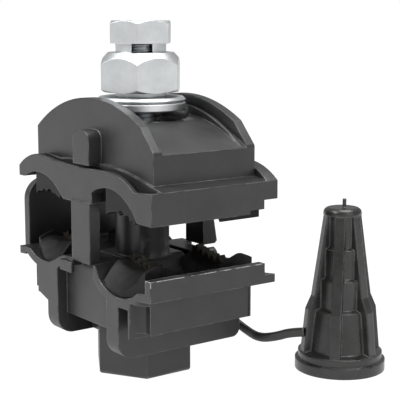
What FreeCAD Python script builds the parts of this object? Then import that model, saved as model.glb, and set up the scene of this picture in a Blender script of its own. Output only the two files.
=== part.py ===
import FreeCAD, Part
import math
import os
import re
import Sketcher

# Insulation piercing connector, open as delivered, with its end cap beside it.
# Origin: bolt axis on the resting face of the boss. +Z up the bolt, +Y along the conductors,
# +X to the main conductor, -X to the tap conductor. Millimetres.

doc = FreeCAD.newDocument("PiercingConnector")
dim = doc.addObject("Spreadsheet::Sheet", "Dim")
sizes = {
    # Play and cuts
    "washerGap": 2.7,  # open gap from the flat washer to its seat
    "play": 0.2,  # side clearance of a piece in its slot or recess
    "weld": 0.3,  # depth to which one form of a moulding runs into the next
    "middle": 0.95,  # offset of the housings' middle from the bolt axis
    "spare": 1.0,  # how far a cut runs past the faces that it opens
    # Bolt
    "boltDia": 8.0,  # thread diameter
    "boltTop": 78.3,  # height of the bolt's tip
    "boltLead": 0.9,  # chamfer of the bolt's tip
    "headFlats": 13.0,  # bolt head across flats
    "headFoot": 2.0,  # height of the head's underside
    "headHigh": 5.3,  # height of the head
    # Boss and core of the lower half
    "bossFlats": 20.8,  # boss across flats
    "bossHigh": 12.5,  # height of the boss
    "bossRound": 0.8,  # rounding of the boss's foot
    "coreHalf": 10.7,  # half width of the core
    "coreDeep": 28.0,  # depth of the core
    "ribInner": 9.65,  # inner side of the rib plates, from the middle
    "ribOuter": 14.25,  # outer side of the rib plates, from the middle
    "ribFoot": 7.6,  # underside of the rib plates
    "ribDeep": 33.2,  # depth of the rib plates
    "ribFrontRound": 4.0,  # rounding of the rib plates' front foot
    "ribRearRound": 2.0,  # rounding of the rib plates' rear foot
    "podOuter": 23.35,  # outer side of the pods, from the middle
    "podRear": 13.8,  # rear end of the pods, along
    "podFoot": 13.4,  # underside of the pods
    "podBevelHigh": 1.5,  # height of the pods' lower bevel
    "podBevelWide": 4.6,  # width of the pods' lower bevel
    "podRound": 2.5,  # rounding of the pods' outer upright edges
    "pocketDeep": 6.4,  # depth of the pods' pockets
    "pocketOneFar": 18.1,  # outer side of the first pocket, from the middle
    "pocketTwoNear": 18.8,  # inner side of the second pocket, from the middle
    "pocketTwoFar": 22.4,  # outer side of the second pocket, from the middle
    "pocketTop": 19.6,  # top of the pods' pockets
    # Conductor seats of the lower half
    "lipDeep": 33.2,  # depth over the two mouths
    "band": 1.85,  # thickness of the mouth band
    "mainSeatX": 15.3,  # main seat's axis, across
    "mainSeatZ": 34.3,  # main seat's axis, height
    "mainSeat": 12.7,  # main seat's radius
    "tapSeatX": 16.8,  # tap seat's axis, across
    "tapSeatZ": 37.0,  # tap seat's axis, height
    "tapSeat": 13.0,  # tap seat's radius
    "trayLeft": 28.4,  # tap end of the tray
    "trayLeftTop": 25.8,  # top of the tray at the tap end
    "tapLeft": 23.4,  # outer edge of the tap seat
    "tapRight": 9.3,  # inner edge of the tap seat
    "partLeft": 7.4,  # tap side of the partition's top
    "partRight": 5.0,  # main side of the partition's top
    "partTop": 27.0,  # top of the partition
    "shoulderX": 6.7,  # end of the partition's shoulder, across
    "shoulderZ": 25.9,  # end of the partition's shoulder, height
    "shoulderRound": 2.2,  # rounding of the partition's shoulder
    "mainLeft": 7.7,  # inner edge of the main seat
    "mainRight": 22.8,  # outer edge of the main seat
    "trayRight": 27.6,  # main end of the tray
    "trayRightTop": 24.6,  # top of the tray at the main end
    # Side plate, guard wall, tube and guides of the lower half
    "plateWall": 2.0,  # thickness of the side plate
    "plateTop": 27.3,  # top of the side plate
    "plateRear": 13.7,  # rear end of the side plate
    "guardWall": 2.2,  # thickness of the guard wall
    "guardOuter": 30.4,  # outer face of the guard wall
    "guardDeep": 28.2,  # depth of the guard wall
    "guardTop": 41.7,  # top of the guard wall
    "guardRound": 5.0,  # rounding of the guard wall's upper corners
    "tubeOuter": 12.4,  # outer diameter of the bolt tube
    "tubeBore": 8.6,  # bore of the bolt tube
    "tubeTop": 42.0,  # top of the bolt tube
    "noseLeft": 7.0,  # tap end of the guide nose
    "noseRight": 1.4,  # free end of the guide nose
    "noseFoot": 24.0,  # underside of the guide nose
    "noseTop": 26.4,  # top of the guide nose
    "noseWall": 0.7,  # thickness of the guide nose
    "noseGap": 0.3,  # gap from the front post to the guide nose
    # Guide posts of the upper half
    "postWide": 8.2,  # width of the front post
    "rearPostWide": 6.9,  # width of the rear post
    "postInner": 14.2,  # inner face of the posts, along
    "postFront": 16.9,  # front face of the front post, along
    "postFoot": 26.8,  # foot of the front post
    "postRear": 16.6,  # back face of the rear post, along
    "barbReach": 18.3,  # reach of the rear post's barb, along
    "barbFoot": 27.5,  # foot of the rear post
    "barbNose": 0.6,  # chamfer of the barb's foot
    "barbTop": 38.0,  # height at which the barb starts
    # Wings of the upper half
    "domeDeep": 27.8,  # depth of the dome
    "wingLeft": 27.8,  # tap end of the wings
    "wingRight": 28.2,  # main end of the wings
    "wingEdge": 45.5,  # height of the wings' edges
    "domeX": 18.2,  # crests of the dome, across
    "domeTop": 49.1,  # crests of the dome, height
    "domeShoulder": 16.5,  # radius of the dome's shoulders
    "domeDip": 151.0,  # radius of the dip between the crests
    "crestX": 7.0,  # crest over the main arch between the flanges, across
    "crest": 49.0,  # height of that crest
    "crestRound": 100.0,  # radius from that crest to the ledge
    "ledgeHigh": 46.3,  # height of the ledge at the block's foot
    "lipFoot": 43.1,  # underside of the wing at the tap end
    "lipFlat": 25.4,  # outer edge of the tap arch
    "tapArchX": 18.5,  # tap arch's axis, across
    "tapArchZ": 30.05,  # tap arch's axis, height
    "tapArch": 14.8,  # tap arch's radius
    "webLeft": 8.0,  # tap side of the web between the arches
    "webFoot": 40.0,  # underside of the web
    "webRight": 1.6,  # main side of the web
    "mainArchX": 11.7,  # main arch's axis, across
    "mainArchZ": 31.5,  # main arch's axis, height
    "mainArch": 13.2,  # main arch's radius
    "archLeft": 2.2,  # inner edge of the main arch
    "archRight": 22.7,  # outer edge of the main arch
    "skirtX": 24.4,  # inner edge of the skirt
    "skirtFoot": 38.7,  # underside of the skirt
    "skirtStep": 0.8,  # step up near the skirt's rear end
    "skirtRear": 9.1,  # start of that step, along
    "skirtEnd": 12.9,  # rear end of the skirt, along
    "tabFoot": 41.5,  # underside of the tab behind the skirt
    "flange": 1.0,  # thickness of the front flange
    "archBand": 3.5,  # thickness of the flange over the main arch
    "shelfX": 21.5,  # inner end of the flange's shelf, across
    "gutterLeft": 19.0,  # tap end of the gutter
    "gutterFloor": 46.0,  # floor of the gutter
    "gutterSkin": 1.2,  # wall left under the gutter over the main arch
    "skirtWall": 2.0,  # thickness of the skirt
    # Block of the upper half
    "blockHalf": 24.2,  # half width of the block
    "blockDeep": 26.7,  # depth of the block
    "blockFoot": 45.1,  # height at which the block starts inside the wings
    "roofZ": 22.0,  # roof's axis, height
    "roof": 41.0,  # radius of the end rims
    "rimTurn": 19.5,  # end of the rims' arc on the main side, across
    "rimEnd": 53.0,  # height of the rims' main end
    "crownZ": 11.1,  # axis of the roof between the rims, height
    "crown": 48.0,  # radius of the roof between the rims
    "ridgeNear": 9.6,  # inner side of the roof's ridge, along
    "ridgeFar": 10.4,  # outer side of the roof's ridge, along
    "ridgeHalf": 23.6,  # half length of the roof's ridge
    "ridge": 38.9,  # radius of the ridge's top
    "rimWall": 2.2,  # thickness of the end rims
    "eave": 0.9,  # rounding of the block's upper side edges
    "pocketDia": 21.6,  # diameter of the washer pocket
    "pocketFloor": 57.2,  # floor of the washer pocket
    "boltHole": 9.0,  # clearance hole for the bolt
    "sleeveBore": 13.2,  # bore that runs over the bolt tube
    "sleeveTop": 54.0,  # top of that bore
    "pilasterWide": 6.6,  # width of the pilaster
    "pilasterFoot": 48.7,  # foot of the pilaster
    "pilasterTop": 56.2,  # top of the pilaster
    "pilasterRound": 2.2,  # rounding of the pilaster's upper corners
    "pilasterFront": 16.7,  # front face of the pilaster, along
    # Nut and washers
    "washerDia": 20.2,  # diameter of the washers
    "washerHole": 8.8,  # hole of the washers
    "washerThick": 1.7,  # thickness of the flat washer
    "dishThick": 1.3,  # thickness of the dished washer
    "dishRound": 0.6,  # chamfer of the dished washer's rim
    "collarDia": 11.6,  # diameter of the nut's collar
    "collarHigh": 1.0,  # height of the collar
    "nutFlats": 17.0,  # lower hexagon across flats
    "nutHigh": 8.8,  # height of the lower hexagon
    "nutCone": 7.45,  # radius of the lower hexagon's top face
    "nutConeDrop": 2.6,  # height of its conical shoulder
    "nutBore": 8.3,  # bore of the nut
    "nutAngle": -38.7,  # turn of the nut at rest, in degrees
    "windowAngle": -31.0,  # direction of a window in the neck, in degrees
    "neckDia": 11.4,  # diameter of the shear neck
    "neckHigh": 2.0,  # height of the shear neck
    "windowWide": 4.6,  # width of the neck's windows
    "capFlats": 13.0,  # upper hexagon across flats
    "capHigh": 5.0,  # height of the upper hexagon
    "hexChamfer": 0.7,  # chamfer of the hexagons' corners
    # Blades
    "bladeThick": 2.0,  # thickness of a blade
    "bladeY": 8.5,  # middle of a blade, along
    "bladeLeft": 19.8,  # tap end of the blades
    "bladeRight": 21.0,  # main end of the blades
    "bladeFoot": 15.5,  # underside of the lower blades
    "bladeHead": 52.0,  # top of the upper blades
    "bladeNear": 9.2,  # inner ends of a blade's toothed edges, across
    "lowMainTurn": -11.0,  # turn of the lower main teeth towards the partition, in degrees
    "toothHigh": 1.5,  # height of a tooth
    "toothStep": 7.5,  # angle from tooth to tooth, in degrees
    "toothCount": 5,  # teeth in a row
    # Seals
    "sealNear": 5.2,  # inner end of the seals, along
    "sealFar": 16.3,  # outer end of the seals, along
    "sealGap": 0.1,  # gap from a seal to its blade
    "funnelNear": 11.6,  # inner end of the seals' outer funnels, along
    "funnelWide": 4.6,  # widening of the outer funnels
    "throatNear": 6.6,  # outer end of the seals' inner funnels, along
    "throatWide": 3.0,  # widening of the inner funnels
    "lowMainX": 17.6,  # axis of the lower main seal's saddle, across
    "lowMainZ": 44.5,  # axis of the lower main seal's saddle, height
    "lowMain": 16.5,  # radius of the lower main seal's saddle
    "lowMainEnd": 22.3,  # outer side of the lower main seal
    "lowMainRim": 28.8,  # top of the lower main seal's outer side
    "rimWide": 1.0,  # width of the lower main seal's rim
    "lowTapX": 14.2,  # axis of the lower tap seal's saddle, across
    "lowTapZ": 45.0,  # axis of the lower tap seal's saddle, height
    "lowTap": 15.2,  # radius of the lower tap seal's saddle
    "lowTapEnd": 20.9,  # outer side of the lower tap seal
    "upMainX": 15.0,  # axis of the upper main seal's saddle, across
    "upMainZ": 29.5,  # axis of the upper main seal's saddle, height
    "upMain": 10.5,  # radius of the upper main seal's saddle
    "upMainEnd": 22.3,  # outer side of the upper main seal
    "upMainRim": 36.6,  # foot of the rear upper main seal's outer side
    "upMainNear": 5.2,  # inner side of the upper main seal
    "upMainLow": 8.7,  # inner end of the upper main seal's saddle
    "upTapX": 14.4,  # axis of the upper tap seal's saddle, across
    "upTapZ": 25.6,  # axis of the upper tap seal's saddle, height
    "upTap": 15.2,  # radius of the upper tap seal's saddle
    "upTapEnd": 20.1,  # outer side of the upper tap seal
    # End cap
    "capX": 28.7,  # cap's axis, across
    "capY": 35.75,  # cap's axis, along
    "capTop": 37.7,  # height of the cap's top face
    "capWall": 1.2,  # wall of the cap
    "capFlange": 10.4,  # radius of the cap's foot flange
    "capFlangeHigh": 2.4,  # height of the foot flange
    "skirtRadius": 9.7,  # outer radius of the cap's skirt at its foot
    "skirtTopRadius": 8.3,  # outer radius of the cap's skirt at its top
    "skirtHigh": 14.3,  # height of the cap's skirt
    "coneFoot": 6.9,  # outer radius of the cap's cone over its skirt
    "coneStart": 17.4,  # height at which the cap's cone starts
    "coneTop": 4.4,  # outer radius of the cap's cone at its top
    "panelOne": 7.7,  # radius of the panels up to their first ledge
    "panelOneTop": 6.7,  # radius of the panels at that ledge
    "panelTwo": 5.5,  # radius of the panels up to their second ledge
    "panelThree": 4.6,  # radius of the panels up to their third ledge
    "panelFour": 3.7,  # radius of the panels above it
    "panelFoot": 4.7,  # foot of the panels
    "ledgeOne": 14.1,  # height of the first ledge
    "ledgeTwo": 21.2,  # height of the second ledge
    "ledgeThree": 28.3,  # height of the third ledge
    "ledgeDrop": 0.5,  # slope of the ledges
    "discFoot": 36.0,  # underside of the cap's top disc
    "ribCount": 6,  # ribs of the cap
    "ribWide": 2.4,  # width of the cap's ribs
    "ribAngle": -51.0,  # turn of the cap's ribs, in degrees
    "capRound": 1.3,  # rounding of the cap's top
    "nubDia": 0.9,  # diameter of the nub on the cap's top
    "nubHigh": 2.0,  # height of the nub
    "nubX": 0.55,  # nub's axis from the cap's axis, across
    "nubY": 0.45,  # nub's axis from the cap's axis, along
    # Tether strap
    "strapWide": 2.1,  # width of the strap
    "strapThick": 1.0,  # thickness of the strap
}
for row, (alias, amount) in enumerate(sizes.items(), 1):
    dim.set("A%d" % row, alias)
    dim.set("B%d" % row, str(amount))
    dim.setAlias("B%d" % row, alias)
doc.recompute()


def full(text):
    """Turn a formula in the sheet's words into an expression of the document."""
    return re.sub(r"[A-Za-z]\w*", lambda word: "Dim." + word[0] if word[0] in sizes else word[0], str(text))


def value(text):
    """Work out such a formula."""
    return float(dim.evalExpression(full(text)))


def body(label):
    made = doc.addObject("PartDesign::Body", label)
    made.Label = label
    return made


def plane(owner, role):
    return next(part for part in owner.Origin.OriginFeatures if part.Role == role)


def sketch(owner, name, role, height="0"):
    """A sketch on one of the body's own planes, lifted along that plane's normal."""
    made = owner.newObject("Sketcher::SketchObject", name)
    made.AttachmentSupport = [(plane(owner, role), "")]
    made.MapMode = "FlatFace"
    made.setExpression("AttachmentOffset.Base.z", full(height))
    return made


def arc(start, end, radius):
    """The short arc between two points. A positive radius turns left, a negative one right."""
    half = (end - start) * 0.5
    left = FreeCAD.Vector(-half.y, half.x, 0).normalize()
    rise = math.sqrt(max(radius * radius - half.Length ** 2, 0.0))
    centre = start + half + left * math.copysign(rise, radius)
    first, last = (start, end) if radius > 0 else (end, start)
    angles = [math.atan2(spot.y - centre.y, spot.x - centre.x) for spot in (first, last)]
    return Part.ArcOfCircle(Part.Circle(centre, FreeCAD.Vector(0, 0, 1), abs(radius)), *angles)


def outline(owner, name, role, points, height="0"):
    """A closed profile. A third entry in a point is the radius of the arc that ends there."""
    made = sketch(owner, name, role, height)
    spots = [FreeCAD.Vector(value(point[0]), value(point[1]), 0) for point in points]
    shapes = []
    tips = []
    for index, point in enumerate(points):
        start, end = spots[index - 1], spots[index]
        if len(point) == 3:
            radius = value(point[2])
            shapes.append(arc(start, end, radius))
            tips.append((1, 2) if radius > 0 else (2, 1))
        else:
            shapes.append(Part.LineSegment(start, end))
            tips.append((1, 2))
    made.addGeometry(shapes, False)
    rules = []
    formulas = []
    for index, point in enumerate(points):
        after = (index + 1) % len(points)
        rules.append(Sketcher.Constraint("Coincident", index, tips[index][1], after, tips[after][0]))
        for kind, coordinate, place in (("DistanceX", point[0], spots[index].x),
                                        ("DistanceY", point[1], spots[index].y)):
            formulas.append((len(rules), coordinate))
            rules.append(Sketcher.Constraint(kind, index, tips[index][1], place))
        if len(point) == 3:
            formulas.append((len(rules), "abs(%s)" % point[2]))
            rules.append(Sketcher.Constraint("Radius", index, abs(value(point[2]))))
    made.addConstraint(rules)
    for index, formula in formulas:
        made.setExpression("Constraints[%d]" % index, full(formula))
    return made


def circles(owner, name, role, rings, height="0"):
    """Round profiles, each given by its centre and its diameter."""
    made = sketch(owner, name, role, height)
    for index, (across, along, diameter) in enumerate(rings):
        centre = FreeCAD.Vector(value(across), value(along), 0)
        made.addGeometry(Part.Circle(centre, FreeCAD.Vector(0, 0, 1), value(diameter) / 2), False)
        for kind, formula, tip in (("DistanceX", across, 3), ("DistanceY", along, 3)):
            rule = made.addConstraint(Sketcher.Constraint(kind, index, tip, value(formula)))
            made.setExpression("Constraints[%d]" % rule, full(formula))
        rule = made.addConstraint(Sketcher.Constraint("Diameter", index, value(diameter)))
        made.setExpression("Constraints[%d]" % rule, full(diameter))
    return made


def rectangle(left, right, low, high):
    return [(left, low), (right, low), (right, high), (left, high)]


def hexagon(flats, angle="0"):
    """A hexagon about the bolt axis with a corner at the given angle."""
    corner = "%s / 2 / cos(30)" % flats
    return [("%s * cos(%s + %d)" % (corner, angle, turn), "%s * sin(%s + %d)" % (corner, angle, turn))
            for turn in range(0, 360, 60)]


def grow(kind, owner, name, profile, length, both, back):
    made = owner.newObject(kind, name)
    made.Profile = profile
    made.SideType = "Symmetric" if both else "One side"
    made.Reversed = back
    made.setExpression("Length", full(length))
    return made


def pad(owner, name, profile, length, both=False, back=False):
    """Add material along the sketch's normal, against it with back, or to both sides."""
    return grow("PartDesign::Pad", owner, name, profile, length, both, back)


def pocket(owner, name, profile, length, both=False, ahead=False):
    """Cut material against the sketch's normal, along it with ahead, or to both sides."""
    return grow("PartDesign::Pocket", owner, name, profile, length, both, ahead)


def mirrored(owner, name, originals, role="XZ_Plane"):
    made = owner.newObject("PartDesign::Mirrored", name)
    made.Originals = originals
    made.MirrorPlane = (plane(owner, role), [""])
    owner.Tip = made
    return made


def turned(owner, name, profile, kind="PartDesign::Revolution"):
    """Revolve a profile drawn on the XZ plane about its own upright axis."""
    made = owner.newObject(kind, name)
    made.Profile = profile
    made.ReferenceAxis = (profile, ["V_Axis"])
    made.Angle = 360
    return made


def rounded(owner, name, radius, picked, kind="PartDesign::Fillet"):
    """Round the edges of the body so far that a test picks by their geometry."""
    doc.recompute()
    base = owner.Tip
    names = ["Edge%d" % (index + 1) for index, edge in enumerate(base.Shape.Edges) if picked(edge)]
    made = owner.newObject(kind, name)
    made.Base = (base, names)
    made.setExpression("Radius" if kind.endswith("Fillet") else "Size", full(radius))
    return made


def edgeAt(x=None, y=None, z=None, slack=0.02):
    """A test for straight or curved edges whose middle lies at the given coordinates."""
    def test(edge):
        box = edge.BoundBox
        wanted = ((x, box.XMin, box.XMax), (y, box.YMin, box.YMax), (z, box.ZMin, box.ZMax))
        return all(goal is None or (abs(low - goal) < slack and abs(high - goal) < slack)
                   for goal, low, high in wanted)
    return test


def under(channel, across, extra="0"):
    """Height of a lower seat's arc, grown by extra, at a place across."""
    radius = "(%sSeat + %s)" % (channel, extra)
    return "%sSeatZ - sqrt(%s ^ 2 - (%s - %sSeatX) ^ 2)" % (channel, radius, across, channel)


def over(channel, across, extra="0"):
    """Height of an upper arch, grown by extra, at a place across."""
    radius = "(%sArch + %s)" % (channel, extra)
    return "%sArchZ + sqrt(%s ^ 2 - (%s - %sArchX) ^ 2)" % (channel, radius, across, channel)


def buildLowerHousing():
    owner = body("lower_housing")
    deep = "band - weld"
    sides = {"main": ("(middle + %s)", "(%s + middle)"), "tap": ("(middle - %s)", "(%s - middle)")}

    def place(channel, span):
        """Place across, at a distance from the middle towards a channel."""
        return sides[channel][0] % span

    def lower(channel, span):
        """Underside of the mouth band at such a distance."""
        return under(channel, sides[channel][1] % span, deep)
    # tray: the wavy mouth band, carried through from front to rear
    tray = outline(owner, "TrayProfile", "XZ_Plane", [
        ("-trayLeft", "trayLeftTop"),
        ("-tapLeft", under("tap", "tapLeft")),
        ("-tapRight", under("tap", "tapRight"), "tapSeat"),
        ("-partLeft", "partTop"),
        ("partRight", "partTop"),
        ("shoulderX", "shoulderZ", "-shoulderRound"),
        ("mainLeft", under("main", "mainLeft")),
        ("mainRight", under("main", "mainRight"), "mainSeat"),
        ("trayRight", "trayRightTop"),
        ("trayRight", "trayRightTop - band"),
        ("mainRight + band / 2", under("main", "(mainRight + band / 2)", "band")),
        ("mainLeft - band", under("main", "(mainLeft - band)", "band"), "-(mainSeat + band)"),
        ("partRight - band", "partTop - band"),
        ("-partLeft + band / 2", "partTop - band"),
        ("-tapRight + band / 2", under("tap", "(tapRight - band / 2)", "band")),
        ("-tapLeft - band / 2", under("tap", "(tapLeft + band / 2)", "band"), "-(tapSeat + band)"),
        ("-trayLeft", "trayLeftTop - band")])
    pad(owner, "Tray", tray, "lipDeep", both=True)
    core = outline(owner, "CoreProfile", "XZ_Plane", [
        ("-coreHalf", "bossHigh"),
        ("coreHalf", "bossHigh"),
        ("coreHalf", under("main", "coreHalf", deep)),
        ("partRight - band", "partTop - band + weld"),
        ("-partLeft + band", "partTop - band + weld"),
        ("-coreHalf", under("tap", "coreHalf", deep))])
    pad(owner, "Core", core, "coreDeep", both=True)
    for channel in sides:
        word = channel.capitalize()
        rib = outline(owner, word + "RibProfile", "XZ_Plane", [
            (place(channel, "ribInner"), "ribFoot"),
            (place(channel, "ribOuter"), "ribFoot"),
            (place(channel, "ribOuter"), lower(channel, "ribOuter")),
            (place(channel, "ribInner"), lower(channel, "ribInner"))])
        pad(owner, word + "Rib", rib, "ribDeep", both=True)
    rounded(owner, "RibFrontRound", "ribFrontRound", edgeAt(y=-value("ribDeep / 2"), z=value("ribFoot")))
    rounded(owner, "RibRearRound", "ribRearRound", edgeAt(y=value("ribDeep / 2"), z=value("ribFoot")))
    for channel in sides:
        word = channel.capitalize()
        turn = "%s(%sSeat + band - weld)" % ("-" if channel == "main" else "", channel)
        pod = outline(owner, word + "PodProfile", "XZ_Plane", [
            (place(channel, "(ribOuter - weld)"), "podFoot"),
            (place(channel, "(podOuter - podBevelWide)"), "podFoot"),
            (place(channel, "podOuter"), "podFoot + podBevelHigh"),
            (place(channel, "podOuter"), lower(channel, "podOuter")),
            (place(channel, "(ribOuter - weld)"), lower(channel, "(ribOuter - weld)"), turn)], "lipDeep / 2")
        pad(owner, word + "Pod", pod, "lipDeep / 2 + podRear", back=True)
    outer = value("podOuter")
    centre = value("middle")
    rounded(owner, "PodRound", "podRound", lambda edge: abs(abs(edge.CenterOfMass.x - centre) - outer) < 0.02
            and abs(edge.BoundBox.ZLength - edge.Length) < 0.01 and edge.Length > 2)
    boss = outline(owner, "BossProfile", "XY_Plane", hexagon("bossFlats", "30"))
    pad(owner, "Boss", boss, "bossHigh + weld")
    rounded(owner, "BossRound", "bossRound", edgeAt(z=0))
    # upright side plate on the main side, and guard wall on the tap side
    plate = outline(owner, "PlateProfile", "YZ_Plane",
                    rectangle("-lipDeep / 2", "plateRear", "trayRightTop - band", "plateTop"), "trayRight")
    pad(owner, "SidePlate", plate, "plateWall", back=True)
    guard = outline(owner, "GuardProfile", "YZ_Plane",
                    rectangle("-guardDeep / 2", "guardDeep / 2", "trayLeftTop - band", "guardTop"), "-guardOuter")
    pad(owner, "GuardWall", guard, "guardWall")
    top = value("guardTop")
    rounded(owner, "GuardRound", "guardRound", lambda edge: edge.BoundBox.ZMin > top - 0.02
            and abs(edge.BoundBox.XLength - edge.Length) < 0.01)
    tube = circles(owner, "TubeProfile", "XY_Plane", [("0", "0", "tubeOuter")], "bossHigh")
    pad(owner, "Tube", tube, "tubeTop - bossHigh")
    # ways for the two posts, and the nose that guides the front one
    ways = outline(owner, "FrontWayProfile", "XY_Plane",
                   rectangle("middle - postWide / 2 - play", "middle + postWide / 2 + play",
                             "-lipDeep", "-coreDeep / 2"), "bossHigh")
    front = pocket(owner, "FrontWay", ways, "partTop", ahead=True)
    mirrored(owner, "RearWay", [front])
    root = outline(owner, "NoseRootProfile", "XZ_Plane",
                   rectangle("-noseLeft", "middle - postWide / 2 - play", "noseFoot", "noseTop"),
                   "lipDeep / 2 - weld")
    pad(owner, "NoseRoot", root, "postFront + noseGap + noseWall - lipDeep / 2 + weld")
    nose = outline(owner, "NoseProfile", "XZ_Plane",
                   rectangle("middle - postWide / 2 - play - weld", "noseRight", "noseFoot", "noseTop"),
                   "postFront + noseGap")
    pad(owner, "Nose", nose, "noseWall")
    # pockets in the pods, from both ends
    cuts = []
    for channel in sides:
        for name, near, far in (("Near", "ribOuter", "pocketOneFar"), ("Far", "pocketTwoNear", "pocketTwoFar")):
            slot = outline(owner, channel.capitalize() + name + "SlotProfile", "XZ_Plane",
                           rectangle(place(channel, near), place(channel, far), "podFoot - spare", "pocketTop"),
                           "lipDeep / 2")
            cuts.append(pocket(owner, channel.capitalize() + name + "Slot", slot, "pocketDeep"))
    mirrored(owner, "RearSlots", cuts)
    # slots for the two lower blades
    slot = outline(owner, "BladeSlotProfile", "XZ_Plane",
                   rectangle("-bladeLeft - play", "bladeRight + play", "bladeFoot", "partTop + weld"),
                   "bladeY - bladeThick / 2 - sealGap")
    blade = pocket(owner, "BladeSlot", slot, "bladeThick + 2 * sealGap", ahead=True)
    mirrored(owner, "RearBladeSlot", [blade])
    # bolt bore and the recess that keeps the head from turning
    bore = circles(owner, "BoreProfile", "XY_Plane", [("0", "0", "tubeBore")])
    pocket(owner, "Bore", bore, "tubeTop + weld", ahead=True)
    recess = outline(owner, "HeadRecessProfile", "XY_Plane", hexagon("(headFlats + 2 * play)", "30"))
    pocket(owner, "HeadRecess", recess, "headFoot + headHigh", ahead=True)
    return owner


def wingOutline():
    """Wing with its domed end flange: skirt, dome, and the two arches."""
    return [
        ("wingRight", "skirtFoot"),
        ("wingRight", "wingEdge"),
        ("domeX", "domeTop", "domeShoulder"),
        ("-domeX", "domeTop", "-domeDip"),
        ("-wingLeft", "wingEdge", "domeShoulder"),
        ("-wingLeft", "lipFoot"),
        ("-lipFlat", over("tap", "lipFlat")),
        ("-webLeft", over("tap", "webLeft"), "-tapArch"),
        ("-webLeft + spare", "webFoot"),
        ("webRight", "webFoot"),
        ("archLeft", over("main", "archLeft")),
        ("archRight", over("main", "archRight"), "-mainArch"),
        ("skirtX", "skirtFoot")]


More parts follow.
